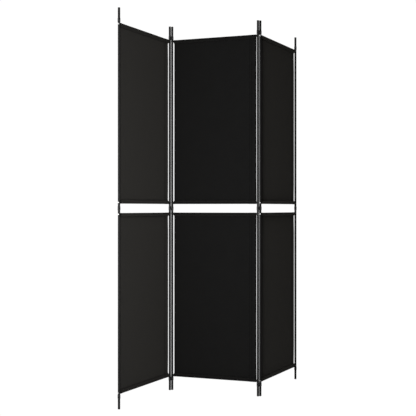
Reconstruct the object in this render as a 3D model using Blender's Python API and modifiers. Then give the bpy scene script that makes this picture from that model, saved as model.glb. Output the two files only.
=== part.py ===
"""Three-panel folding screen: steel tube panels with fabric sleeved on crossbars,
joined in a zigzag by double-ring clips that let each pair of poles turn.

Row frame: metres, +Z up, origin on the floor under the middle of the middle panel,
+X along the zigzag from the left panel to the right one, front towards -Y.
Each panel is laid out in its own frame: x along the panel, y to its back, z up.
"""

import math

import bmesh
import bpy

# ---------------------------------------------------------------- dimensions
HEIGHT = 2.000  # floor to the top of the poles
POLE_SPACING = 0.488  # between the two pole axes of one panel
HINGE_SPACING = 0.014  # between the axes of neighbouring poles, set by the clip
FOLD_HALF = math.radians(40)  # each panel's angle to the X axis at rest

POLE_R = 0.006
POLE_WALL = 0.001
POLE_CROWN = 0.0008  # rounding at the closed top end
POLE_TOP_WALL = 0.0015

CROSSBAR_R = 0.006
CROSSBAR_WALL = 0.001
CROSSBAR_PLUG = 0.012  # depth of the threaded plug welded in each end
CROSSBAR_Z = (0.0813, 0.970, 1.030, 1.9187)

SCREW_SHANK_R = 0.0020
SCREW_HEAD_R = 0.00325
SCREW_RIM = 0.0003
SCREW_FACE = 0.00605  # head's face to the pole's axis
SCREW_TIP = 0.0153  # tip to the pole's axis, on the crossbar's side
HOLE_CLEAR = 0.0003

FABRIC_WIDTH = 0.470
FABRIC_THICK = 0.0005
SLEEVE_CLEAR = 0.0003  # sleeve to crossbar
STITCH_DROP = 0.012  # sleeve's seam to the crossbar's axis

CLIP_BORE_R = 0.0063
CLIP_RING_R = 0.0071
CLIP_WAIST_R = 0.006
CLIP_HEIGHT = 0.019
CLIP_Z = (0.0630, 1.0000, 1.9370)

FOOT_FLANGE = 0.003
FOOT_STEM_R = 0.00465
FOOT_STEM = 0.012
FOOT_CHAMFER = 0.0006
GAP = 0.0003

TUBE_STEPS = 16
SMALL_STEPS = 12
SLEEVE_STEPS = 10

# ------------------------------------------------------------------ the scene
for old in list(bpy.data.objects):
    bpy.data.objects.remove(old, do_unlink=True)

screen = bpy.data.collections.new("folding_screen")
cutters = bpy.data.collections.new("cutters")
bpy.context.scene.collection.children.link(screen)
bpy.context.scene.collection.children.link(cutters)


def material(name, colour, roughness, metallic=0.0):
    m = bpy.data.materials.new(name)
    m.use_nodes = True
    shader = m.node_tree.nodes["Principled BSDF"]
    shader.inputs["Base Color"].default_value = (*colour, 1.0)
    shader.inputs["Roughness"].default_value = roughness
    shader.inputs["Metallic"].default_value = metallic
    m.diffuse_color = (*colour, 1.0)
    return m


POWDER_COAT = material("black_powder_coat", (0.018, 0.018, 0.018), 0.42)
CLOTH = material("black_woven_fabric", (0.012, 0.012, 0.011), 0.95)
PLASTIC = material("black_plastic", (0.014, 0.014, 0.015), 0.5)
ZINC = material("zinc_plated_steel", (0.75, 0.75, 0.74), 0.3, 1.0)


# -------------------------------------------------------------------- shapes
def edge_mesh(name, points, closed):
    """A mesh of edges through (radius, height) points, in the XZ plane."""
    bm = bmesh.new()
    verts = [bm.verts.new((r, 0.0, z)) for r, z in points]
    for a, b in zip(verts, verts[1:]):
        bm.edges.new((a, b))
    if closed:
        bm.edges.new((verts[-1], verts[0]))
    mesh = bpy.data.meshes.new(name)
    bm.to_mesh(mesh)
    bm.free()
    return mesh


def turned(name, points, steps, closed=False, collection=screen):
    """A solid of revolution about its own Z axis."""
    obj = bpy.data.objects.new(name, edge_mesh(name, points, closed))
    collection.objects.link(obj)
    screw = obj.modifiers.new("turn", "SCREW")
    screw.axis = "Z"
    screw.angle = 2 * math.pi
    screw.screw_offset = 0.0
    screw.iterations = 1
    screw.steps = steps
    screw.render_steps = steps
    screw.use_merge_vertices = True
    screw.merge_threshold = 0.000001
    screw.use_smooth_shade = True
    return obj


def baked(obj, name):
    """The object's evaluated mesh, as one that copies can share."""
    bpy.context.view_layer.update()
    graph = bpy.context.evaluated_depsgraph_get()
    mesh = bpy.data.meshes.new_from_object(obj.evaluated_get(graph))
    mesh.name = name
    mesh.shade_smooth()
    mesh.set_sharp_from_angle(angle=math.radians(35))
    bpy.data.objects.remove(obj, do_unlink=True)
    return mesh


def outline(name, loops, half_thickness):
    """A flat outline with holes, filled and extruded both ways."""
    curve = bpy.data.curves.new(name, "CURVE")
    curve.dimensions = "2D"
    curve.fill_mode = "BOTH"
    curve.extrude = half_thickness
    for loop in loops:
        spline = curve.splines.new("POLY")
        spline.points.add(len(loop) - 1)
        for point, (x, y) in zip(spline.points, loop):
            point.co = (x, y, 0.0, 1.0)
        spline.use_cyclic_u = True
    return curve


def arc(cx, cy, r, start, end, steps):
    """Points on an arc, angles in radians, both ends included."""
    return [
        (
            cx + r * math.cos(start + (end - start) * i / steps),
            cy + r * math.sin(start + (end - start) * i / steps),
        )
        for i in range(steps + 1)
    ]


def pole_mesh():
    """Tube closed at the top, drilled and countersunk for a screw at each crossbar.
    The screw heads are on its -X side."""
    inner = POLE_R - POLE_WALL
    low = FOOT_FLANGE + GAP
    obj = turned(
        "pole",
        [
            (0.0, HEIGHT),
            (POLE_R - POLE_CROWN, HEIGHT),
            (POLE_R, HEIGHT - POLE_CROWN),
            (POLE_R, low),
            (inner, low),
            (inner, HEIGHT - POLE_TOP_WALL),
            (0.0, HEIGHT - POLE_TOP_WALL),
        ],
        TUBE_STEPS,
    )
    rim = SCREW_HEAD_R + HOLE_CLEAR
    hole = SCREW_SHANK_R + HOLE_CLEAR
    # the cone runs at 45 degrees, HOLE_CLEAR away from the screw's own cone
    line = SCREW_HEAD_R - (SCREW_FACE - SCREW_RIM) + HOLE_CLEAR * math.sqrt(2)
    for z in CROSSBAR_Z:
        drill = turned(
            "countersink_drill",
            [
                (0.0, 0.008),
                (rim, 0.008),
                (rim, rim - line),
                (hole, hole - line),
                (hole, -0.008),
                (0.0, -0.008),
            ],
            SMALL_STEPS,
            collection=cutters,
        )
        drill.location = (0.0, 0.0, z)
        drill.rotation_euler = (0.0, -math.pi / 2, 0.0)
        drill.hide_render = True
        drill.display_type = "WIRE"
        cut = obj.modifiers.new("screw_hole", "BOOLEAN")
        cut.operation = "DIFFERENCE"
        cut.solver = "EXACT"
        cut.object = drill
    return baked(obj, "pole")


def crossbar_mesh():
    """Tube along its own Z with a threaded plug welded in each end."""
    half = POLE_SPACING / 2 - POLE_R - GAP
    bore = SCREW_SHANK_R + HOLE_CLEAR
    inner = CROSSBAR_R - CROSSBAR_WALL
    obj = turned(
        "crossbar",
        [
            (bore, half),
            (CROSSBAR_R, half),
            (CROSSBAR_R, -half),
            (bore, -half),
            (bore, -half + CROSSBAR_PLUG),
            (inner, -half + CROSSBAR_PLUG),
            (inner, half - CROSSBAR_PLUG),
            (bore, half - CROSSBAR_PLUG),
        ],
        TUBE_STEPS,
        closed=True,
    )
    return baked(obj, "crossbar")


def screw_mesh():
    """Countersunk screw along its own Z, the pole's axis at z = 0 and its head up."""
    cone_end = SCREW_FACE - SCREW_RIM - (SCREW_HEAD_R - SCREW_SHANK_R)
    obj = turned(
        "screw",
        [
            (0.0, SCREW_FACE),
            (SCREW_HEAD_R, SCREW_FACE),
            (SCREW_HEAD_R, SCREW_FACE - SCREW_RIM),
            (SCREW_SHANK_R, cone_end),
            (SCREW_SHANK_R, -SCREW_TIP + 0.0006),
            (SCREW_SHANK_R - 0.0006, -SCREW_TIP),
            (0.0, -SCREW_TIP),
        ],
        SMALL_STEPS,
    )
    return baked(obj, "screw")


def foot_mesh():
    """Plug foot: a stem inside the pole and a flange under its end."""
    obj = turned(
        "foot",
        [
            (0.0, FOOT_FLANGE + FOOT_STEM),
            (FOOT_STEM_R, FOOT_FLANGE + FOOT_STEM),
            (FOOT_STEM_R, FOOT_FLANGE),
            (POLE_R, FOOT_FLANGE),
            (POLE_R, FOOT_CHAMFER),
            (POLE_R - FOOT_CHAMFER, 0.0),
            (0.0, 0.0),
        ],
        TUBE_STEPS,
    )
    return baked(obj, "foot")


def fabric_curve(low_bar, high_bar):
    """Section of one fabric piece: a sheet behind the two crossbars, with a
    teardrop sleeve round each. Curve x is the panel's back, curve y its height."""
    r_in = CROSSBAR_R + SLEEVE_CLEAR
    r_out = r_in + FABRIC_THICK
    # the sleeve leaves the bar on the tangent through the seam, on the sheet's face
    wrap = 2 * math.acos(r_in / math.hypot(r_in, STITCH_DROP))
    end = 2 * math.pi - wrap
    steps = SLEEVE_STEPS
    # where the sleeve's outer face meets the sheet's front face
    seam_out = (r_in, -STITCH_DROP - FABRIC_THICK / math.sin(wrap))

    def top(points):
        return [(x, high_bar + y) for x, y in points]

    def bottom(points):
        return [(x, low_bar - y) for x, y in points]

    hole = arc(0.0, 0.0, r_in, 0.0, end, steps) + [(r_in, -STITCH_DROP)]
    skin = arc(0.0, 0.0, r_out, 0.0, end, steps) + [seam_out]
    outer = top(skin) + list(reversed(bottom(skin)))
    return outline(
        "fabric", [outer, top(hole), bottom(hole)], FABRIC_WIDTH / 2
    )


def clip_curve(side):
    """Two rings joined by a waist: one round the pole at 0, the other at side * HINGE_SPACING."""
    e = HINGE_SPACING
    reach = CLIP_RING_R + CLIP_WAIST_R
    lift = math.sqrt(reach**2 - (e / 2) ** 2)
    turn = math.atan2(lift, e / 2)
    steps = 4
    left = arc(0.0, 0.0, CLIP_RING_R, turn, 2 * math.pi - turn, 12)
    right = arc(e, 0.0, CLIP_RING_R, turn - math.pi, math.pi - turn, 12)
    below = arc(e / 2, -lift, CLIP_WAIST_R, math.pi - turn, turn, steps)
    above = arc(e / 2, lift, CLIP_WAIST_R, -turn, turn - math.pi, steps)
    loop = left + below[1:-1] + right + above[1:-1]
    bores = [arc(x, 0.0, CLIP_BORE_R, 0.0, 2 * math.pi, 20)[:-1] for x in (0.0, e)]
    if side < 0:
        loop = [(x - e, y) for x, y in loop]
        bores = [[(x - e, y) for x, y in bore] for bore in bores]
    return outline("hinge_clip", [loop, *bores], CLIP_HEIGHT / 2)


# ------------------------------------------------------------------ assembly
def axis_empty(name, x, y, angle=0.0):
    empty = bpy.data.objects.new(name, None)
    empty.empty_display_size = 0.05
    empty.location = (x, y, 0.0)
    empty.rotation_euler = (0.0, 0.0, angle)
    screen.objects.link(empty)
    return empty


def place(name, data, parent, location, rotation, mat):
    obj = bpy.data.objects.new(name, data)
    screen.objects.link(obj)
    obj.parent = parent
    obj.location = location
    obj.rotation_euler = rotation
    if not data.materials:
        data.materials.append(mat)
    return obj


POLE = pole_mesh()
CROSSBAR = crossbar_mesh()
SCREW = screw_mesh()
FOOT = foot_mesh()
FABRIC = {
    "lower": fabric_curve(CROSSBAR_Z[0], CROSSBAR_Z[1]),
    "upper": fabric_curve(CROSSBAR_Z[2], CROSSBAR_Z[3]),
}
CLIP = {-1: clip_curve(-1), 1: clip_curve(1)}
LEVELS = ("bottom", "lower_middle", "upper_middle", "top")


def panel(name, pivot, x0, pole_names):
    """One panel, its left pole's axis at x0 in the frame of its pivot."""
    for side, (x, pole) in enumerate(zip((x0, x0 + POLE_SPACING), pole_names)):
        turn = math.pi * side
        place(f"{name}_{pole}_pole", POLE, pivot, (x, 0, 0), (0, 0, turn), POWDER_COAT)
        place(f"{name}_{pole}_foot", FOOT, pivot, (x, 0, 0), (0, 0, turn), PLASTIC)
        head = math.pi / 2 if side else -math.pi / 2
        for level, z in zip(LEVELS, CROSSBAR_Z):
            place(
                f"{name}_{pole}_{level}_screw",
                SCREW,
                pivot,
                (x, 0, z),
                (0, head, 0),
                ZINC,
            )
    middle = x0 + POLE_SPACING / 2
    for level, z in zip(LEVELS, CROSSBAR_Z):
        place(
            f"{name}_{level}_crossbar",
            CROSSBAR,
            pivot,
            (middle, 0, z),
            (0, math.pi / 2, 0),
            POWDER_COAT,
        )
    for level, curve in FABRIC.items():
        place(
            f"{name}_{level}_fabric",
            curve,
            pivot,
            (middle, 0, 0),
            (math.pi / 2, 0, math.pi / 2),
            CLOTH,
        )


half_x = POLE_SPACING / 2 * math.cos(FOLD_HALF)
half_y = POLE_SPACING / 2 * math.sin(FOLD_HALF)

# The middle panel runs from its left pole, at the back, to its right pole, at the front.
middle_pivot = axis_empty("middle_panel_left_axis", -half_x, half_y, -FOLD_HALF)
left_clip_pivot = axis_empty("left_clip_axis", -half_x, half_y)
left_pivot = axis_empty(
    "left_panel_axis", -half_x - HINGE_SPACING, half_y, FOLD_HALF
)
right_clip_pivot = axis_empty("right_clip_axis", half_x, -half_y)
right_pivot = axis_empty(
    "right_panel_axis", half_x + HINGE_SPACING, -half_y, FOLD_HALF
)

panel("middle_panel", middle_pivot, 0.0, ("left", "right"))
panel("left_panel", left_pivot, -POLE_SPACING, ("outer", "hinge"))
panel("right_panel", right_pivot, 0.0, ("hinge", "outer"))

for side, name, pivot in ((-1, "left", left_clip_pivot), (1, "right", right_clip_pivot)):
    for level, z in zip(("bottom", "middle", "top"), CLIP_Z):
        place(
            f"{name}_{level}_hinge_clip",
            CLIP[side],
            pivot,
            (0, 0, z),
            (0, 0, 0),
            PLASTIC,
        )

bpy.context.view_layer.update()
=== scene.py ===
import math
import random

import bmesh
import bpy
import numpy as np
from mathutils import Matrix, Vector


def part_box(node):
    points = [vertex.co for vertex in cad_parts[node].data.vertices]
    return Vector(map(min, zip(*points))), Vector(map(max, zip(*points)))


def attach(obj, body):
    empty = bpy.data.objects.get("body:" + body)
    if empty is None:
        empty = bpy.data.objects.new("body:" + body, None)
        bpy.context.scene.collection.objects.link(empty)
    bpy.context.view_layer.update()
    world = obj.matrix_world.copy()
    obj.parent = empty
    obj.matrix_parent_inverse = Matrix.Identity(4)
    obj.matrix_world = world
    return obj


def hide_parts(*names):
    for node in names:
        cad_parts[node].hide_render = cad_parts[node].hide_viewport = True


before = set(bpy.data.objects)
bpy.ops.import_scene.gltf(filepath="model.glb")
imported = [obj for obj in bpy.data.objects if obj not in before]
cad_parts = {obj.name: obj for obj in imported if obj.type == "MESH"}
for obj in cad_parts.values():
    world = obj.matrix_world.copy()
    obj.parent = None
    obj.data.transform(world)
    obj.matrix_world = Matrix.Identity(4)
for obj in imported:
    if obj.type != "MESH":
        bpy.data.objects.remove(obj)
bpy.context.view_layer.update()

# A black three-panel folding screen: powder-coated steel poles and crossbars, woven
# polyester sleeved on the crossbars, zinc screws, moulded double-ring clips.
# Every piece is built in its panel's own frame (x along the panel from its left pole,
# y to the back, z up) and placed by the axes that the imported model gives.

MM = 0.001
LEVELS = ("bottom", "lower_middle", "upper_middle", "top")
PANELS = {
    "left_panel": ("outer", "hinge"),
    "middle_panel": ("left", "right"),
    "right_panel": ("hinge", "outer"),
}

# ------------------------------------------------------------------ dimensions
POLE_R = 6.0 * MM
POLE_WALL = 1.0 * MM
SCREW_HEAD_R = 3.25 * MM
SCREW_FACE = 6.05 * MM
SCREW_TIP = 15.3 * MM
CLOTH = 0.40 * MM  # thickness of one layer
LAYER = 0.42 * MM  # one layer to the next where they are sewn together
SLEEVE_R = 6.3 * MM  # inside of a sleeve
STITCH_DROP = 12.0 * MM  # sleeve's seam to the crossbar's axis
FABRIC_INSET = 9.5 * MM  # side edge of the cloth to the pole's axis
HEM_WIDE = 40.0 * MM  # the hem on the right, sewn twice
HEM_NARROW = 9.0 * MM  # the hem on the left, sewn once
CLIP_BORE_R = 6.3 * MM
CLIP_RING_R = 7.1 * MM
CLIP_WAIST_R = 6.0 * MM
FOOT_FLANGE = 3.0 * MM
FOOT_STEM_R = 4.65 * MM


def centre(node):
    low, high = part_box(node)
    return (low + high) / 2


# ------------------------------------------------------------------- materials
def material(name):
    m = bpy.data.materials.new(name)
    m.use_nodes = True
    return m, m.node_tree, m.node_tree.nodes["Principled BSDF"]


class Graph:
    """Short names for the nodes that the materials use."""

    def __init__(self, tree):
        self.tree = tree

    def node(self, kind, **values):
        n = self.tree.nodes.new(kind)
        for key, value in values.items():
            setattr(n, key, value)
        return n

    def link(self, a, b):
        self.tree.links.new(a, b)

    def math(self, op, a, b=None, c=None, clamp=False):
        n = self.node("ShaderNodeMath", operation=op, use_clamp=clamp)
        for i, v in enumerate((a, b, c)):
            if v is None:
                continue
            if isinstance(v, (int, float)):
                n.inputs[i].default_value = v
            else:
                self.link(v, n.inputs[i])
        return n.outputs[0]

    def coords(self, kind="Object", scale=(1, 1, 1)):
        c = self.node("ShaderNodeTexCoord").outputs[kind]
        if scale == (1, 1, 1):
            return c
        m = self.node("ShaderNodeMapping")
        m.inputs["Scale"].default_value = scale
        self.link(c, m.inputs["Vector"])
        return m.outputs["Vector"]

    def noise(self, vector, scale, detail=2.0, rough=0.5, own=True):
        n = self.node("ShaderNodeTexNoise", noise_dimensions="4D" if own else "3D")
        n.inputs["Scale"].default_value = scale
        n.inputs["Detail"].default_value = detail
        n.inputs["Roughness"].default_value = rough
        self.link(vector, n.inputs["Vector"])
        if own:  # each object gets its own part of the noise
            info = self.node("ShaderNodeObjectInfo")
            self.link(self.math("MULTIPLY", info.outputs["Random"], 37.0), n.inputs["W"])
        return n.outputs["Fac"]

    def spread(self, value, low, high, out_low, out_high):
        n = self.node("ShaderNodeMapRange", clamp=True)
        n.inputs["From Min"].default_value = low
        n.inputs["From Max"].default_value = high
        n.inputs["To Min"].default_value = out_low
        n.inputs["To Max"].default_value = out_high
        self.link(value, n.inputs["Value"])
        return n.outputs["Result"]

    def ramp(self, value, stops):
        n = self.node("ShaderNodeValToRGB")
        while len(n.color_ramp.elements) < len(stops):
            n.color_ramp.elements.new(0.5)
        for e, (pos, colour) in zip(n.color_ramp.elements, stops):
            e.position = pos
            e.color = (*colour, 1.0)
        self.link(value, n.inputs["Fac"])
        return n.outputs["Color"]

    def bump(self, height, distance, strength=1.0, under=None):
        n = self.node("ShaderNodeBump")
        n.inputs["Strength"].default_value = strength
        n.inputs["Distance"].default_value = distance
        self.link(height, n.inputs["Height"])
        if under is not None:
            self.link(under, n.inputs["Normal"])
        return n.outputs["Normal"]


def powder_coat():
    """Satin black powder coat: orange peel about a millimetre across, faint handling scuffs."""
    m, tree, shader = material("powder_coat_black")
    g = Graph(tree)
    at = g.coords("Object")
    peel = g.noise(at, 900, detail=1.5)
    grain = g.noise(at, 5200, detail=1.0)
    patch = g.noise(at, 38, detail=3.0)
    scuff = g.noise(g.coords("Object", (60, 60, 9)), 6.0, detail=6.0, rough=0.72)
    scuffed = g.spread(scuff, 0.62, 0.72, 0.0, 1.0)
    colour = g.ramp(patch, [(0.3, (0.0095, 0.0095, 0.0095)), (0.7, (0.0135, 0.0134, 0.0132))])
    mix = g.node("ShaderNodeMix", data_type="RGBA")
    g.link(g.math("MULTIPLY", scuffed, 0.35), mix.inputs["Factor"])
    g.link(colour, mix.inputs[6])
    mix.inputs[7].default_value = (0.030, 0.030, 0.029, 1)
    g.link(mix.outputs[2], shader.inputs["Base Color"])
    rough = g.math("ADD", g.spread(patch, 0.3, 0.7, 0.48, 0.56), g.math("MULTIPLY", scuffed, 0.12))
    g.link(rough, shader.inputs["Roughness"])
    height = g.math("ADD", peel, g.math("MULTIPLY", grain, 0.12))
    g.link(g.bump(height, 0.00004, 0.55), shader.inputs["Normal"])
    shader.inputs["Specular IOR Level"].default_value = 0.30
    return m


def plastic(name, dark, light, rough_low, rough_high, texture):
    """Moulded black plastic with a fine spark-eroded surface."""
    m, tree, shader = material(name)
    g = Graph(tree)
    at = g.coords("Object")
    erosion = g.noise(at, texture, detail=3.0, rough=0.6)
    patch = g.noise(at, 120, detail=3.0)
    g.link(g.ramp(patch, [(0.3, dark), (0.7, light)]), shader.inputs["Base Color"])
    g.link(g.spread(erosion, 0.3, 0.7, rough_low, rough_high), shader.inputs["Roughness"])
    g.link(g.bump(erosion, 0.00003, 0.8), shader.inputs["Normal"])
    return m


def zinc():
    """Bright zinc plating with turning marks round the head and a faint tarnish."""
    m, tree, shader = material("zinc_plating")
    g = Graph(tree)
    at = g.coords("Object")
    parts = g.node("ShaderNodeSeparateXYZ")
    g.link(at, parts.inputs[0])
    radius = g.math(
        "SQRT",
        g.math(
            "ADD",
            g.math("POWER", parts.outputs[0], 2.0),
            g.math("POWER", parts.outputs[1], 2.0),
        ),
    )
    rings = g.math("SINE", g.math("MULTIPLY", radius, 2 * math.pi / 0.00018))
    tarnish = g.noise(at, 700, detail=4.0)
    g.link(
        g.ramp(tarnish, [(0.3, (0.78, 0.79, 0.79)), (0.72, (0.90, 0.895, 0.87))]),
        shader.inputs["Base Color"],
    )
    shader.inputs["Metallic"].default_value = 1.0
    g.link(g.spread(tarnish, 0.3, 0.7, 0.28, 0.42), shader.inputs["Roughness"])
    g.link(g.bump(rings, 0.000004, 0.5), shader.inputs["Normal"])
    return m


def woven(name, sheen_share):
    """Plain-weave black polyester, about 15 threads to the centimetre. The UV map is in
    metres of flat cloth: U across the piece, V along its length. The second argument
    is its sheen's share: the copies with less sheen are painted shade over the
    sleeves, the sewn lines and the side edges."""
    m, tree, shader = material(name)
    g = Graph(tree)
    uv = g.node("ShaderNodeUVMap", uv_map="cloth")
    wander = g.noise(uv.outputs["UV"], 140, detail=2.0)
    parts = g.node("ShaderNodeSeparateXYZ")
    g.link(uv.outputs["UV"], parts.inputs[0])
    pitch = 0.00066
    drift = g.math("MULTIPLY", g.math("SUBTRACT", wander, 0.5), 0.9)
    u = g.math("ADD", g.math("DIVIDE", parts.outputs[0], pitch), drift)
    v = g.math("ADD", g.math("DIVIDE", parts.outputs[1], pitch), drift)

    def thread(across, along):
        """Height of one set of threads: round across, rising and dipping along."""
        round_ = g.math("ABSOLUTE", g.math("SINE", g.math("MULTIPLY", across, math.pi)))
        shift = g.math("MULTIPLY", g.math("FLOOR", across), math.pi)
        wave = g.math("SINE", g.math("ADD", g.math("MULTIPLY", along, math.pi), shift))
        return g.math("MULTIPLY", round_, g.math("MULTIPLY_ADD", wave, 0.5, 0.5))

    warp = thread(u, v)
    weft = thread(v, g.math("ADD", u, 1.0))
    weave = g.math("MAXIMUM", warp, weft)
    # slubs: single threads a little thicker or darker over a few centimetres
    slub_u = g.noise(g.coords("UV", (1500, 26, 1)), 1.0, detail=2.0)
    slub_v = g.noise(g.coords("UV", (26, 1500, 1)), 1.0, detail=2.0)
    slubs = g.math("ADD", slub_u, slub_v)  # about 1
    cloud = g.noise(uv.outputs["UV"], 14, detail=4.0)
    tone = g.math(
        "ADD",
        g.math("MULTIPLY", g.math("SUBTRACT", slubs, 1.0), 0.9),
        g.math("MULTIPLY", g.math("SUBTRACT", cloud, 0.5), 0.35),
    )
    # painted shade: the base colour is darker where the weave lies low, between the threads
    depth = g.math("MULTIPLY", g.math("SUBTRACT", weave, 0.6), 0.35)
    # painted shade: the vertex attribute read here darkens the base colour along the sewn lines, over the
    # sleeves and at the side edges
    painted_shade_level = g.node("ShaderNodeAttribute", attribute_name="painted_shade_level").outputs["Fac"]
    value = g.math("ADD", g.math("ADD", tone, depth), 0.5)
    value = g.math("SUBTRACT", value, g.math("MULTIPLY", painted_shade_level, 0.60))
    dark, light = FABRIC_DARK, FABRIC_LIGHT
    g.link(g.ramp(value, [(0.0, dark), (1.0, light)]), shader.inputs["Base Color"])
    g.link(g.spread(cloud, 0.3, 0.7, 0.86, 0.96), shader.inputs["Roughness"])
    shader.inputs["Specular IOR Level"].default_value = FABRIC_SPECULAR
    shader.inputs["Sheen Weight"].default_value = FABRIC_SHEEN * sheen_share
    shader.inputs["Sheen Roughness"].default_value = FABRIC_SHEEN_ROUGH
    shader.inputs["Sheen Tint"].default_value = FABRIC_SHEEN_TINT
    fine = g.bump(weave, 0.00011, 0.45)
    g.link(g.bump(slubs, 0.00008, 0.5, under=fine), shader.inputs["Normal"])
    return m


def thread_material():
    """Black polyester thread with its twist."""
    m, tree, shader = material("sewing_thread")
    g = Graph(tree)
    at = g.coords("Object")
    twist = g.node("ShaderNodeTexWave", wave_type="BANDS", bands_direction="DIAGONAL")
    twist.inputs["Scale"].default_value = 900
    twist.inputs["Distortion"].default_value = 0.6
    g.link(at, twist.inputs["Vector"])
    g.link(
        g.ramp(twist.outputs["Fac"], [(0.2, (0.004, 0.004, 0.004)), (0.8, (0.011, 0.011, 0.011))]),
        shader.inputs["Base Color"],
    )
    g.link(g.spread(twist.outputs["Fac"], 0.0, 1.0, 0.5, 0.7), shader.inputs["Roughness"])
    g.link(g.bump(twist.outputs["Fac"], 0.00003, 0.6), shader.inputs["Normal"])
    shader.inputs["Specular IOR Level"].default_value = 0.3
    return m


FABRIC_DARK = (0.0036, 0.0037, 0.0039)
FABRIC_LIGHT = (0.0098, 0.0100, 0.0105)
FABRIC_SPECULAR = 0.12
FABRIC_SHEEN = 0.157
FABRIC_SHEEN_ROUGH = 0.6
FABRIC_SHEEN_TINT = (1.0, 0.94, 0.845, 1.0)

COAT = powder_coat()
CLIP_PLASTIC = plastic(
    "clip_plastic_black", (0.010, 0.010, 0.0105), (0.015, 0.015, 0.0155), 0.42, 0.56, 2600
)
FOOT_PLASTIC = plastic(
    "foot_plastic_black", (0.009, 0.009, 0.0095), (0.013, 0.013, 0.0135), 0.52, 0.66, 1800
)
ZINC = zinc()
# the two copies with less sheen are painted shade over the sleeves, sewn lines and side edges
FABRICS = [
    woven("woven_black_polyester", 1.0),
    woven("woven_black_polyester_shade_painted", 0.80),
    woven("woven_black_polyester_deep_shade_painted", 0.58),
]
THREAD = thread_material()


# ---------------------------------------------------------------- mesh helpers
def finish_mesh(bm, name, sharp=35.0):
    bmesh.ops.recalc_face_normals(bm, faces=bm.faces)
    mesh = bpy.data.meshes.new(name)
    bm.to_mesh(mesh)
    bm.free()
    mesh.shade_smooth()
    mesh.set_sharp_from_angle(angle=math.radians(sharp))
    return mesh


def revolve(points, steps, closed=False, radius=None):
    """A bmesh turned about Z from (r, z) points. radius(r, z, angle) may change r."""
    bm = bmesh.new()
    rings = []
    for r, z in points:
        if r == 0.0:
            rings.append([bm.verts.new((0, 0, z))])
            continue
        ring = []
        for i in range(steps):
            a = 2 * math.pi * i / steps
            rr = radius(r, z, a) if radius else r
            ring.append(bm.verts.new((rr * math.cos(a), rr * math.sin(a), z)))
        rings.append(ring)
    pairs = list(zip(rings, rings[1:]))
    if closed:
        pairs.append((rings[-1], rings[0]))
    for a, b in pairs:
        for i in range(steps):
            j = (i + 1) % steps
            if len(a) == 1:
                bm.faces.new((a[0], b[i], b[j]))
            elif len(b) == 1:
                bm.faces.new((a[i], b[0], a[j]))
            else:
                bm.faces.new((a[i], b[i], b[j], a[j]))
    return bm


def fillet(cx, cz, r, start, end, steps):
    """Points on an arc in (radius, height), angles in degrees."""
    return [
        (
            cx + r * math.cos(math.radians(start + (end - start) * i / steps)),
            cz + r * math.sin(math.radians(start + (end - start) * i / steps)),
        )
        for i in range(steps + 1)
    ]


def cut(mesh, cutters, name, sharp=35.0):
    """mesh minus the cutter meshes, given as (mesh, matrix)."""
    body = bpy.data.objects.new("work", mesh)
    bpy.context.scene.collection.objects.link(body)
    tools = []
    for cutter, matrix in cutters:
        tool = bpy.data.objects.new("tool", cutter)
        tool.matrix_world = matrix
        bpy.context.scene.collection.objects.link(tool)
        tools.append(tool)
        b = body.modifiers.new("cut", "BOOLEAN")
        b.operation = "DIFFERENCE"
        b.solver = "EXACT"
        b.object = tool
    bpy.context.view_layer.update()
    graph = bpy.context.evaluated_depsgraph_get()
    out = bpy.data.meshes.new_from_object(body.evaluated_get(graph))
    out.name = name
    for o in [body, *tools]:
        bpy.data.objects.remove(o, do_unlink=True)
    out.shade_smooth()
    out.set_sharp_from_angle(angle=math.radians(sharp))
    return out


def add(name, mesh, matrix, mat, body, slot, *nodes):
    o = bpy.data.objects.new(name, mesh)
    bpy.context.scene.collection.objects.link(o)
    o.matrix_world = matrix
    if not mesh.materials:
        mesh.materials.append(mat)
    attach(o, body)
    if nodes:
        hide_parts(*nodes)
    return o


# ---------------------------------------------------------------- hard pieces
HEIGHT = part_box("middle_panel_left_pole")[1].z
BAR_Z = [centre(f"middle_panel_{level}_crossbar").z for level in LEVELS]
CLIP_Z = [centre(f"left_{level}_hinge_clip").z for level in ("bottom", "middle", "top")]
CLIP_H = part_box("left_middle_hinge_clip")[1].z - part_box("left_middle_hinge_clip")[0].z
BAR_HALF = (
    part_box("middle_panel_top_crossbar")[1].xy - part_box("middle_panel_top_crossbar")[0].xy
)


def pole_mesh():
    """Tube with a rounded closed top and a deburred foot end, drilled and countersunk
    at each crossbar on its -X side."""
    inner = POLE_R - POLE_WALL
    low = FOOT_FLANGE + 0.3 * MM
    rim = 1.1 * MM
    points = [(0.0, HEIGHT), (POLE_R - rim - 1.2 * MM, HEIGHT)]
    points += fillet(POLE_R - rim, HEIGHT - rim, rim, 90, 0, 6)
    rows = []
    for z in BAR_Z:
        rows += [z + 5 * MM, z - 5 * MM]
    for z in CLIP_Z:
        rows += [z + CLIP_H, z - CLIP_H]
    rows += [HEIGHT * k / 12 for k in range(1, 12)]
    points += [(POLE_R, z) for z in sorted(set(rows), reverse=True)]
    points += fillet(POLE_R - 0.25 * MM, low + 0.25 * MM, 0.25 * MM, 0, -90, 3)
    points += fillet(inner + 0.25 * MM, low + 0.25 * MM, 0.25 * MM, -90, -180, 3)
    points += [(inner, HEIGHT - 1.5 * MM), (0.0, HEIGHT - 1.5 * MM)]
    body = finish_mesh(revolve(points, 48), "pole_blank", 50)
    head = SCREW_HEAD_R + 0.3 * MM
    hole = 2.3 * MM
    line = SCREW_HEAD_R - (SCREW_FACE - 0.3 * MM) + 0.3 * MM * math.sqrt(2)
    drill = finish_mesh(
        revolve(
            [(0.0, 8 * MM), (head, 8 * MM), (head, head - line), (hole, hole - line),
             (hole, -8 * MM), (0.0, -8 * MM)],
            36,
        ),
        "drill",
    )
    turn = Matrix.Rotation(-math.pi / 2, 4, "Y")
    return cut(body, [(drill, Matrix.Translation((0, 0, z)) @ turn) for z in BAR_Z], "pole", 38)


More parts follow.
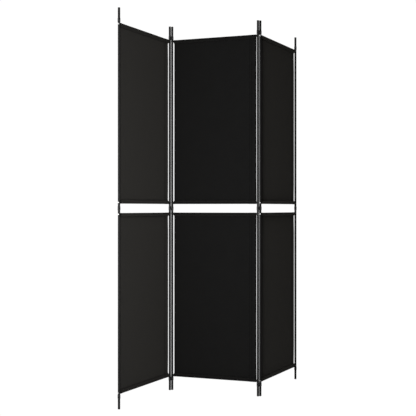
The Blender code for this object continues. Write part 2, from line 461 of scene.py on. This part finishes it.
def crossbar_mesh(half):
    """Tube along Z with a plug welded in each end and drilled for its screw."""
    bore = 2.3 * MM
    r = 6.0 * MM
    end = [
        (bore, half - 0.9 * MM),
        (4.3 * MM, half - 0.9 * MM),
        (4.65 * MM, half - 0.75 * MM),  # weld bead
        (4.95 * MM, half - 0.35 * MM),
        (5.15 * MM, half - 0.05 * MM),
        (5.3 * MM, half),
    ] + fillet(r - 0.3 * MM, half - 0.3 * MM, 0.3 * MM, 90, 0, 3)
    other = [(x, -z) for x, z in reversed(end)]
    inside = [
        (bore, -half + 12 * MM),
        (5.0 * MM, -half + 12 * MM),
        (5.0 * MM, half - 12 * MM),
        (bore, half - 12 * MM),
    ]
    return finish_mesh(revolve(end + other + inside, 40, closed=True), "crossbar", 40)


def screw_mesh():
    """Countersunk cross-recess screw, head up, with a rolled M4 thread."""
    face = SCREW_FACE
    pitch = 0.7 * MM
    start = 1.2 * MM
    tip = -SCREW_TIP
    cone = face - 0.3 * MM - (SCREW_HEAD_R - 2.0 * MM)
    points = [(0.0, face), (2.6 * MM, face)]
    points += fillet(SCREW_HEAD_R - 0.18 * MM, face - 0.18 * MM, 0.18 * MM, 90, 0, 3)
    points += [(SCREW_HEAD_R, face - 0.3 * MM), (2.0 * MM, cone), (1.78 * MM, cone - 0.3 * MM)]
    n = int(round((start - tip - 0.8 * MM) / (pitch / 5)))
    points += [(1.78 * MM, start - i * (start - tip - 0.8 * MM) / n) for i in range(n + 1)]
    points += [(1.45 * MM, tip + 0.3 * MM), (1.1 * MM, tip), (0.0, tip)]

    def thread(r, z, a):
        if not tip + 0.5 * MM < z < start + 0.01 * MM:
            return r
        phase = (z / pitch - a / (2 * math.pi)) % 1.0
        crest = 1 - abs(2 * phase - 1)
        fade = min(1.0, max(0.0, (start - z) / pitch), max(0.0, (z - tip - 0.5 * MM) / pitch))
        return 1.62 * MM + 0.36 * MM * crest * fade

    body = finish_mesh(revolve(points, 24, radius=thread), "screw_blank", 50)
    bm = bmesh.new()
    for turn in (0, math.pi / 2):
        made = bmesh.ops.create_cone(
            bm, cap_ends=True, segments=4, radius1=0.55 * MM, radius2=1.35 * MM, depth=2.2 * MM
        )["verts"]
        bmesh.ops.rotate(bm, verts=made, cent=(0, 0, 0), matrix=Matrix.Rotation(math.pi / 4, 3, "Z"))
        for v in made:
            v.co.x *= 1.45
            v.co.y *= 0.42
        bmesh.ops.rotate(bm, verts=made, cent=(0, 0, 0), matrix=Matrix.Rotation(turn, 3, "Z"))
    bits = finish_mesh(bm, "recess")
    arms = []
    for k in (0, 1):
        one = bits.copy()
        work = bmesh.new()
        work.from_mesh(one)
        keep = [v for v in work.verts][8 * k : 8 * k + 8]
        bmesh.ops.delete(work, geom=[v for v in work.verts if v not in keep], context="VERTS")
        arms.append((finish_mesh(work, f"arm{k}"), Matrix.Translation((0, 0, face - 0.8 * MM))))
    return cut(body, arms, "screw", 38)


def foot_mesh():
    """Plug foot: barbed stem, flange, rounded tread with the mould's gate mark."""
    stem = FOOT_STEM_R
    points = [(0.0, 15.0 * MM), (3.7 * MM, 15.0 * MM), (4.2 * MM, 14.5 * MM)]
    for k in range(4):
        z = 14.2 * MM - k * 2.7 * MM
        points += [(4.2 * MM, z), (stem, z - 1.5 * MM), (stem, z - 1.9 * MM), (4.2 * MM, z - 2.0 * MM)]
    points += [(4.2 * MM, FOOT_FLANGE), (POLE_R - 0.35 * MM, FOOT_FLANGE)]
    points += fillet(POLE_R - 0.3 * MM, FOOT_FLANGE - 0.3 * MM, 0.3 * MM, 90, 0, 3)[1:]
    points += fillet(POLE_R - 0.7 * MM, 0.7 * MM, 0.7 * MM, 0, -90, 5)
    points += [(1.15 * MM, 0.0), (1.0 * MM, 0.15 * MM), (0.0, 0.15 * MM)]
    return finish_mesh(revolve(points, 44), "foot", 40)


def arc(cx, cy, r, start, end, steps):
    return [
        (
            cx + r * math.cos(start + (end - start) * i / steps),
            cy + r * math.sin(start + (end - start) * i / steps),
        )
        for i in range(steps + 1)
    ]


def moulding(name, loops, height):
    """A filled outline of that height with its edges, inner ones too, rounded."""
    soft = 0.22 * MM
    curve = bpy.data.curves.new(name, "CURVE")
    curve.dimensions = "2D"
    curve.fill_mode = "BOTH"
    curve.extrude = height / 2 - soft
    curve.bevel_depth = soft
    curve.bevel_resolution = 2
    curve.offset = -soft
    for loop in loops:
        spline = curve.splines.new("POLY")
        spline.points.add(len(loop) - 1)
        for point, (x, y) in zip(spline.points, loop):
            point.co = (x, y, 0.0, 1.0)
        spline.use_cyclic_u = True
    o = bpy.data.objects.new(name, curve)
    bpy.context.scene.collection.objects.link(o)
    bpy.context.view_layer.update()
    graph = bpy.context.evaluated_depsgraph_get()
    mesh = bpy.data.meshes.new_from_object(o.evaluated_get(graph))
    bpy.data.objects.remove(o, do_unlink=True)
    bm = bmesh.new()
    bm.from_mesh(mesh)
    bmesh.ops.remove_doubles(bm, verts=bm.verts, dist=1e-6)
    return finish_mesh(bm, name, 48)


def clip_mesh(e):
    """Figure-eight clip, one bore at 0 and one at e on X."""
    side = abs(e)
    reach = CLIP_RING_R + CLIP_WAIST_R
    lift = math.sqrt(reach**2 - (side / 2) ** 2)
    turn = math.atan2(lift, side / 2)
    left = arc(0, 0, CLIP_RING_R, turn, 2 * math.pi - turn, 34)
    right = arc(side, 0, CLIP_RING_R, turn - math.pi, math.pi - turn, 34)
    below = arc(side / 2, -lift, CLIP_WAIST_R, math.pi - turn, turn, 12)
    above = arc(side / 2, lift, CLIP_WAIST_R, -turn, turn - math.pi, 12)
    loop = left + below[1:-1] + right + above[1:-1]
    bores = [arc(x, 0, CLIP_BORE_R, 0, 2 * math.pi, 52)[:-1] for x in (0, side)]
    if e < 0:
        loop = [(x - side, y) for x, y in loop]
        bores = [[(x - side, y) for x, y in bore] for bore in bores]
    return moulding("hinge_clip", [loop, *bores], CLIP_H)


def ring_mesh():
    return moulding(
        "end_ring",
        [arc(0, 0, r, 0, 2 * math.pi, 52)[:-1] for r in (CLIP_RING_R, CLIP_BORE_R)],
        CLIP_H,
    )


# -------------------------------------------------------------------- the cloth
def sleeve_path():
    """(y, z) from the bar's centre height at the back of a top sleeve, over the bar,
    down its front to the seam, and on to the edge that is folded under."""
    r = SLEEVE_R + CLOTH / 2
    inner = SLEEVE_R - 0.02 * MM - CLOTH / 2  # the folded-under layer, on the sheet
    flap = inner - LAYER
    far = math.hypot(flap, STITCH_DROP)
    end = 2 * math.pi - math.atan2(STITCH_DROP, flap) - math.acos(r / far)
    points = arc(0, 0, r, 0, end, 20)[1:]
    y0, z0 = points[-1]
    for k in range(1, 6):
        t = k / 5
        points.append((y0 + (flap - y0) * t, z0 + (-STITCH_DROP - z0) * t))
    fold = STITCH_DROP + 2.4 * MM
    points += [(flap, -STITCH_DROP - d * MM) for d in (0.5, 1.0, 1.7, 2.4)]
    points += arc((flap + inner) / 2, -fold, LAYER / 2, math.pi, 2 * math.pi, 4)[1:]
    points += [(inner, -STITCH_DROP + d * MM) for d in (-1.0, 0.0, 2.0, 5.0)]
    return points


TOP_PATH = sleeve_path()
SEAM_AT = 20 + 5 - 1  # index in TOP_PATH of the seam


def smooth(t):
    t = np.clip(t, 0.0, 1.0)
    return t * t * (3 - 2 * t)


def waves(rng, longest, shortest, count):
    """A smooth function of one coordinate, between about 0 and 1, from a few sines."""
    parts = [
        (
            rng.uniform(0.6, 1.0),
            2 * math.pi / math.exp(rng.uniform(math.log(shortest), math.log(longest))),
            rng.uniform(0, 2 * math.pi),
        )
        for _ in range(count)
    ]
    total = sum(p[0] for p in parts)

    def at(x):
        return 0.5 + 0.5 * sum(a * np.sin(k * x + p) for a, k, p in parts) / total

    return at


class Cloth:
    """One fabric piece: where a point across it (x, from its left edge) and along its
    path (row) lies in the panel's frame, at an offset out from the middle layer."""

    def __init__(self, low, high, left, right, seed):
        rng = random.Random(seed)
        self.low, self.high, self.left, self.right = low, high, left, right
        self.width = right - left
        ends = [0, 3, 6, 9, 10.8, 11.5, 12, 12.5, 13.2, 14.6, 17, 21, 27, 35]
        rows = [low + d * MM for d in ends]
        span = high - low
        n = int(round((span - 90 * MM) / (10.5 * MM)))
        rows += [low + 45 * MM + (span - 90 * MM) * k / n for k in range(n + 1)]
        rows += [high - d * MM for d in reversed(ends)]
        y = SLEEVE_R + CLOTH / 2
        path = [(a, low - b) for a, b in reversed(TOP_PATH)]
        path += [(y, z) for z in rows]
        path += [(a, high + b) for a, b in TOP_PATH]
        self.path = np.array(path)
        self.first = len(TOP_PATH) - 1 - SEAM_AT  # rows of the two seams
        self.last = len(path) - 1 - self.first
        t = np.gradient(self.path, axis=0)
        t /= np.linalg.norm(t, axis=1)[:, None]
        self.normal = np.stack([t[:, 1], -t[:, 0]], axis=1)
        self.along = np.concatenate(
            [[0], np.cumsum(np.linalg.norm(np.diff(self.path, axis=0), axis=1))]
        )
        w = self.width / MM
        self.seams = [7.0 * MM, (w - 26) * MM, (w - 38) * MM]
        xs = {0.0, 0.8, 2.0, 4.0, 9.0, 10.0, 12.5, w, w - 0.8, w - 2, w - 4, w - 7, w - 10.5}
        for s in (7.0, w - 26, w - 38):
            xs |= {s - 1.6, s - 0.8, s - 0.35, s, s + 0.35, s + 0.8, s + 1.6}
        xs |= {w - 40, w - 41.2, w - 43.5, w - 46, w - 32, w - 29.5, w - 22, w - 18, w - 14}
        n = int(round((w - 46 - 12.5) / 5.2))
        xs |= {12.5 + (w - 46 - 12.5) * k / n for k in range(n + 1)}
        self.xs = np.array(sorted(round(x, 4) for x in xs)) * MM
        self.broad = [(waves(rng, 0.6, 0.2, 3), waves(rng, 1.1, 0.35, 3)) for _ in range(3)]
        self.pucker = [waves(rng, 0.034, 0.015, 6) for _ in range(2)]
        self.ripple = [waves(rng, 0.045, 0.018, 6) for _ in self.seams]
        self.edge = [waves(rng, 0.5, 0.08, 4) for _ in range(2)]

    def seam_pull(self, x):
        """1 on a vertical line of stitches, 0 away from it."""
        return np.max([np.exp(-(((x - s) / (0.75 * MM)) ** 2)) for s in self.seams], axis=0)

    def forward(self, x, z):
        """How far the cloth stands towards the front at (x, z), in metres."""
        up = np.minimum(z - self.low, self.high - z)
        hold = smooth((up - 10 * MM) / (120 * MM))
        side = smooth(x / (60 * MM)) * smooth((self.width - x) / (60 * MM))
        f = 0.0
        for (a, b), size in zip(self.broad, (0.55, 0.45, 0.35)):
            f = f + size * MM * a(x) * b(z)
        f = f * hold * (0.45 + 0.55 * side) + 0.9 * MM * hold
        for seam_z, g in zip((self.low + STITCH_DROP, self.high - STITCH_DROP), self.pucker):
            off = np.abs(z - seam_z)
            f = f + 0.16 * MM * g(x) * np.exp(-off / (7 * MM)) * (up > -1)
        for s, g in zip(self.seams, self.ripple):
            f = f + 0.15 * MM * g(z) * np.exp(-np.abs(x - s) / (5 * MM)) * hold
        wide = smooth((x - (self.width - 44 * MM)) / (4 * MM))
        narrow = smooth(((12 * MM) - x) / (3 * MM))
        f = f + (0.20 * wide + 0.10 * narrow) * MM * hold
        return f

    def place(self, rows, xs, out, thick, groove=True):
        """Points of one face: (rows, xs) grid, out of the middle by out +- thick."""
        r = np.asarray(rows)
        x = np.asarray(xs)
        gx, gr = np.meshgrid(x, np.arange(len(r)))
        p = self.path[r][gr]
        n = self.normal[r][gr]
        z = p[..., 1]
        pinch = self.seam_pull(gx) if groove else 0.0
        low_seam = np.exp(-(((z - self.low - STITCH_DROP) / (0.8 * MM)) ** 2))
        high_seam = np.exp(-(((z - self.high + STITCH_DROP) / (0.8 * MM)) ** 2))
        pinch = np.maximum(pinch, np.maximum(low_seam, high_seam))
        offset = out + thick * (1 - 0.42 * pinch)
        y = p[..., 0] + n[..., 0] * offset - self.forward(gx, z)
        zz = z + n[..., 1] * offset
        t = np.clip((z - self.low) / (self.high - self.low), 0, 1)
        waist = 0.3 * MM * np.sin(math.pi * t) ** 0.8
        side = (gx / self.width - 0.5) * 2
        drift = (self.edge[0](z) - 0.5) * np.clip(-side, 0, 1) + (
            self.edge[1](z) - 0.5
        ) * np.clip(side, 0, 1)
        xx = self.left + gx - waist * side**3 + 0.4 * MM * drift * np.sin(math.pi * t)
        return np.stack([xx, y, zz], axis=-1), gx, self.along[r][gr], pinch

    def solid(self, bm, uv, painted_shade_level, rows, xs, out):
        """One closed layer of cloth in bm."""
        rows, xs = list(rows), list(xs)
        sides = []
        for sign in (1, -1):
            co, gx, gs, pinch = self.place(rows, xs, out, sign * CLOTH / 2)
            z = self.path[rows, 1][:, None] + 0 * gx
            up = np.minimum(z - self.low, self.high - z)
            # painted shade: this level darkens the base colour and picks the cloth copies with less sheen;
            # it is 0.55 at the side edges and up to 1 on the stitch lines
            edge = np.maximum(
                pinch,
                0.55 * np.exp(-np.minimum(gx, self.width - gx) / (4 * MM)),
            )
            # sewn lines lie in their own small valleys and sleeves are two layers deep: both get painted
            # shade here, as do the sleeves' seams
            valley = np.max(
                [np.exp(-(((gx - s) / (1.9 * MM)) ** 2)) for s in self.seams], axis=0
            )
            sewn = np.exp(-(((up - STITCH_DROP) / (2.6 * MM)) ** 2))
            sleeve = 0.42 * np.exp(-np.maximum(up - 4 * MM, 0) / (20 * MM))
            edge = np.maximum(np.maximum(edge, 0.8 * valley), np.maximum(sleeve, 0.85 * sewn))
            grid = []
            for i in range(len(rows)):
                line = []
                for j in range(len(xs)):
                    v = bm.verts.new(co[i, j])
                    v[painted_shade_level] = float(edge[i, j])
                    line.append((v, (float(gx[i, j]), float(gs[i, j]))))
                grid.append(line)
            sides.append(grid)

        def face(*corners):
            f = bm.faces.new([c[0] for c in corners])
            for loop, c in zip(f.loops, corners):
                loop[uv].uv = c[1]

        back, front = sides
        for i in range(len(rows) - 1):
            for j in range(len(xs) - 1):
                face(back[i][j], back[i + 1][j], back[i + 1][j + 1], back[i][j + 1])
                face(front[i][j], front[i][j + 1], front[i + 1][j + 1], front[i + 1][j])
            for j in (0, len(xs) - 1):
                a, b = (front, back) if j == 0 else (back, front)
                face(a[i][j], a[i + 1][j], b[i + 1][j], b[i][j])
        for i in (0, len(rows) - 1):
            for j in range(len(xs) - 1):
                a, b = (back, front) if i == 0 else (front, back)
                face(a[i][j], a[i][j + 1], b[i][j + 1], b[i][j])

    def mesh(self, name):
        bm = bmesh.new()
        uv = bm.loops.layers.uv.new("cloth")
        # painted shade: this vertex layer holds how much darker the cloth is painted, read by the cloth
        # material
        painted_shade_level = bm.verts.layers.float.new("painted_shade_level")
        self.solid(bm, uv, painted_shade_level, range(len(self.path)), self.xs, 0.0)
        rows = range(self.first + 1, self.last)
        wide = [x for x in self.xs if x >= self.width - HEM_WIDE - 0.01 * MM]
        narrow = [x for x in self.xs if x <= HEM_NARROW + 0.01 * MM]
        self.solid(bm, uv, painted_shade_level, rows, wide, LAYER)
        self.solid(bm, uv, painted_shade_level, rows, narrow, LAYER)
        bmesh.ops.recalc_face_normals(bm, faces=bm.faces)
        # painted shade: faces with a higher painted shade level take the cloth copies with less sheen
        for f in bm.faces:
            level = sum(v[painted_shade_level] for v in f.verts) / len(f.verts)
            f.material_index = 2 if level > 0.5 else 1 if level > 0.22 else 0
        mesh = bpy.data.meshes.new(name)
        bm.to_mesh(mesh)
        bm.free()
        for one in FABRICS:
            mesh.materials.append(one)
        mesh.shade_smooth()
        mesh.set_sharp_from_angle(angle=math.radians(50))
        return mesh

    def point(self, x, row, out):
        """One point, with row a float index along the path."""
        i = int(min(max(math.floor(row), 0), len(self.path) - 2))
        t = row - i
        a = self.place([i, i + 1], [x], 0.0, 0.0)[0][:, 0]
        n = self.normal[i] * (1 - t) + self.normal[i + 1] * t
        p = a[0] * (1 - t) + a[1] * t
        return Vector((p[0], p[1] + n[0] * out, p[2] + n[1] * out))


def stitches(cloth, name):
    """Every stitch as a short taut length of thread, on both faces of the cloth."""
    bm = bmesh.new()
    step, thick = 2.9 * MM, 0.17 * MM
    half = CLOTH / 2

    def one(a, b, out):
        """A spindle of six sides from a to b, half sunk in the cloth."""
        along = b - a
        length = along.length
        along.normalize()
        across = along.cross(out).normalized()
        mid = [a + along * length * k for k in (0.22, 0.78)]
        tips = [bm.verts.new(a - out * 0.12 * MM), bm.verts.new(b - out * 0.12 * MM)]
        rings = []
        for m in mid:
            rings.append(
                [
                    bm.verts.new(
                        m
                        + across * math.cos(math.pi * k / 3) * thick
                        + out * (math.sin(math.pi * k / 3) * thick * 0.8 + 0.03 * MM)
                    )
                    for k in range(6)
                ]
            )
        for k in range(6):
            j = (k + 1) % 6
            bm.faces.new((tips[0], rings[0][j], rings[0][k]))
            bm.faces.new((tips[1], rings[1][k], rings[1][j]))
            bm.faces.new((rings[0][k], rings[0][j], rings[1][j], rings[1][k]))

    def face_point(x, row, out):
        return cloth.point(x, row, out)

    pinched = half * 0.58
    back_y, front_y = Vector((0, 1, 0)), Vector((0, -1, 0))
    # along the sleeves' seams: on the flap in front, on the sheet behind
    for seam_row, z in ((cloth.first, cloth.low + STITCH_DROP), (cloth.last, cloth.high - STITCH_DROP)):
        sheet_row = int(np.argmin(np.abs(cloth.path[:, 1] - z) + 10 * (np.abs(cloth.path[:, 0] - SLEEVE_R - half) > 1e-5)))
        n = int((cloth.width - 4 * MM) / step)
        for k in range(n):
            x0 = 2 * MM + k * step
            x1 = x0 + step * 0.86
            one(face_point(x0, seam_row, pinched), face_point(x1, seam_row, pinched), front_y)
            hem = LAYER if x0 > cloth.width - HEM_WIDE or x1 < HEM_NARROW else 0.0
            one(face_point(x0, sheet_row, pinched + hem), face_point(x1, sheet_row, pinched + hem), back_y)
    # along the side hems
    low = cloth.along[cloth.first] + 39.5 * MM
    high = cloth.along[cloth.last] - 39.5 * MM
    index = np.arange(len(cloth.along))
    n = int((high - low) / step)
    for x in cloth.seams:
        for k in range(n):
            s0 = low + k * step
            r0, r1 = np.interp([s0, s0 + step * 0.86], cloth.along, index)
            z = np.interp(r0, index, cloth.path[:, 1])
            if z < cloth.low + STITCH_DROP + 3 * MM or z > cloth.high - STITCH_DROP - 3 * MM:
                continue
            one(face_point(x, r0, -pinched), face_point(x, r1, -pinched), front_y)
            one(face_point(x, r0, LAYER + pinched), face_point(x, r1, LAYER + pinched), back_y)
    return finish_mesh(bm, name, 60)


# ------------------------------------------------------------------- assembly
def z_turn(angle):
    return Matrix.Rotation(angle, 4, "Z")


POLE = pole_mesh()
SCREW = screw_mesh()
FOOT = foot_mesh()
RING = ring_mesh()
BAR = None
fabrics = []
for p, (panel, poles) in enumerate(PANELS.items()):
    a, b = (centre(f"{panel}_{pole}_pole") for pole in poles)
    along = Vector((b.x - a.x, b.y - a.y, 0.0))
    spacing = along.length
    angle = math.atan2(along.y, along.x)
    base = Matrix.Translation((a.x, a.y, 0.0)) @ z_turn(angle)
    if BAR is None:
        BAR = crossbar_mesh(spacing / 2 - POLE_R - 0.3 * MM)
    for side, pole in enumerate(poles):
        at = base @ Matrix.Translation((spacing * side, 0, 0)) @ z_turn(math.pi * side)
        name = f"{panel}_{pole}"
        add(f"{name}_pole_coated", POLE, at, COAT, panel, "powder_coat", f"{name}_pole")
        add(f"{name}_foot_moulded", FOOT, at, FOOT_PLASTIC, panel, "foot_plastic", f"{name}_foot")
        for k, (level, z) in enumerate(zip(LEVELS, BAR_Z)):
            head = Matrix.Rotation(-math.pi / 2, 4, "Y")
            spin = z_turn(0.7 * k + 1.9 * side + p)
            add(
                f"{name}_{level}_screw_zinc",
                SCREW,
                at @ Matrix.Translation((0, 0, z)) @ head @ spin,
                ZINC,
                panel,
                "zinc",
                f"{name}_{level}_screw",
            )
    for level, z in zip(LEVELS, BAR_Z):
        at = base @ Matrix.Translation((spacing / 2, 0, z)) @ Matrix.Rotation(math.pi / 2, 4, "Y")
        add(
            f"{panel}_{level}_crossbar_coated", BAR, at, COAT, panel, "powder_coat",
            f"{panel}_{level}_crossbar",
        )
    for f, (level, low, high) in enumerate(
        (("lower", BAR_Z[0], BAR_Z[1]), ("upper", BAR_Z[2], BAR_Z[3]))
    ):
        cloth = Cloth(low, high, FABRIC_INSET, spacing - FABRIC_INSET, 100 + 10 * p + f)
        o = add(
            f"{panel}_{level}_fabric_woven",
            cloth.mesh(f"{panel}_{level}_cloth"),
            base, FABRICS[0], panel, "fabric", f"{panel}_{level}_fabric",
        )
        sewn = add(
            f"{panel}_{level}_fabric_stitching",
            stitches(cloth, f"{panel}_{level}_stitches"),
            base, THREAD, panel, "fabric",
        )
        fabrics.append(o)

for side, panel, pole, other in (
    ("left", "middle_panel", "left", "left_panel_hinge_pole"),
    ("right", "middle_panel", "right", "right_panel_hinge_pole"),
):
    a = centre(f"{panel}_{pole}_pole")
    b = centre(other)
    gap = b.x - a.x
    mesh = clip_mesh(gap)
    for level, z in zip(("bottom", "middle", "top"), CLIP_Z):
        node = f"{side}_{level}_hinge_clip"
        add(
            f"{node}_moulded", mesh, Matrix.Translation((a.x, a.y, z)),
            CLIP_PLASTIC, f"{side}_clips", "clip_plastic", node,
        )
for panel in ("left_panel", "right_panel"):
    a = centre(f"{panel}_outer_pole")
    for level, z in zip(("bottom", "middle", "top"), CLIP_Z):
        add(
            f"{panel}_outer_{level}_ring", RING, Matrix.Translation((a.x, a.y, z)),
            CLIP_PLASTIC, panel, "clip_plastic",
        )

# ------------------------------------------------------------- floor and lights
scene = bpy.context.scene
scene.view_settings.view_transform = "Standard"


def plane(name, size, z):
    bm = bmesh.new()
    bmesh.ops.create_grid(bm, x_segments=1, y_segments=1, size=size / 2)
    mesh = bpy.data.meshes.new(name)
    bm.to_mesh(mesh)
    bm.free()
    o = bpy.data.objects.new(name, mesh)
    o.location.z = z
    scene.collection.objects.link(o)
    return o


AMBIENT = 0.11
floor = plane("studio_floor", 60.0, -0.2 * MM)
fm = bpy.data.materials.new("floor_white")
fm.use_nodes = True
t = fm.node_tree
t.nodes.clear()
out = t.nodes.new("ShaderNodeOutputMaterial")
mixer = t.nodes.new("ShaderNodeMixShader")
path = t.nodes.new("ShaderNodeLightPath")
pale = t.nodes.new("ShaderNodeBsdfDiffuse")
pale.inputs["Color"].default_value = (0.55, 0.55, 0.55, 1)
glow = t.nodes.new("ShaderNodeEmission")
glow.inputs["Color"].default_value = (1, 1, 1, 1)
glow.inputs["Strength"].default_value = 1.02
t.links.new(path.outputs["Is Camera Ray"], mixer.inputs[0])
t.links.new(pale.outputs[0], mixer.inputs[1])
t.links.new(glow.outputs[0], mixer.inputs[2])
t.links.new(mixer.outputs[0], out.inputs[0])
floor.data.materials.append(fm)

world = bpy.data.worlds.new("studio")
scene.world = world
world.use_nodes = True
w = world.node_tree
w.nodes.clear()
out = w.nodes.new("ShaderNodeOutputWorld")
mixer = w.nodes.new("ShaderNodeMixShader")
path = w.nodes.new("ShaderNodeLightPath")
dim = w.nodes.new("ShaderNodeBackground")
dim.inputs["Color"].default_value = (1, 1, 1, 1)
dim.inputs["Strength"].default_value = AMBIENT
white = w.nodes.new("ShaderNodeBackground")
white.inputs["Color"].default_value = (1, 1, 1, 1)
white.inputs["Strength"].default_value = 1.02
w.links.new(path.outputs["Is Camera Ray"], mixer.inputs[0])
w.links.new(dim.outputs[0], mixer.inputs[1])
w.links.new(white.outputs[0], mixer.inputs[2])
w.links.new(mixer.outputs[0], out.inputs[0])


def softbox(name, place, target, width, height, radiance, colour=(1, 1, 1)):
    light = bpy.data.lights.new(name, "AREA")
    light.shape = "RECTANGLE"
    light.size = width
    light.size_y = height
    light.energy = radiance * math.pi * width * height
    light.color = colour
    o = bpy.data.objects.new(name, light)
    o.location = place
    o.rotation_euler = (Vector(target) - Vector(place)).to_track_quat("-Z", "Y").to_euler()
    o.visible_camera = False
    scene.collection.objects.link(o)
    return o




softbox("key_front", (-0.80, -1.25, 1.0), (0.0, 0.0, 1.0), 0.5, 2.6, 4.3)
softbox("fill_back", (-0.5, 3.5, 1.3), (0.0, 0.0, 1.0), 2.0, 2.4, 2.0)
# a card on the left that only shines in metal, coating and plastic
card = softbox("card_left", (-3.05, -1.05, 1.32), (-0.2, -0.1, 1.2), 1.9, 2.6, 3.0)
card.visible_diffuse = False

# ---------------------------------------------------------------------- camera
data = bpy.data.cameras.new("camera")
data.sensor_width = 36.0
data.lens = 813.92 * 36.0 / 416.0
data.clip_start = 0.05
data.clip_end = 200.0
camera = bpy.data.objects.new("camera", data)
camera.location = (-1.6463, -4.0899, 1.0016)
camera.rotation_euler = (math.pi / 2, 0.0, -0.3749)
scene.collection.objects.link(camera)
scene.camera = camera
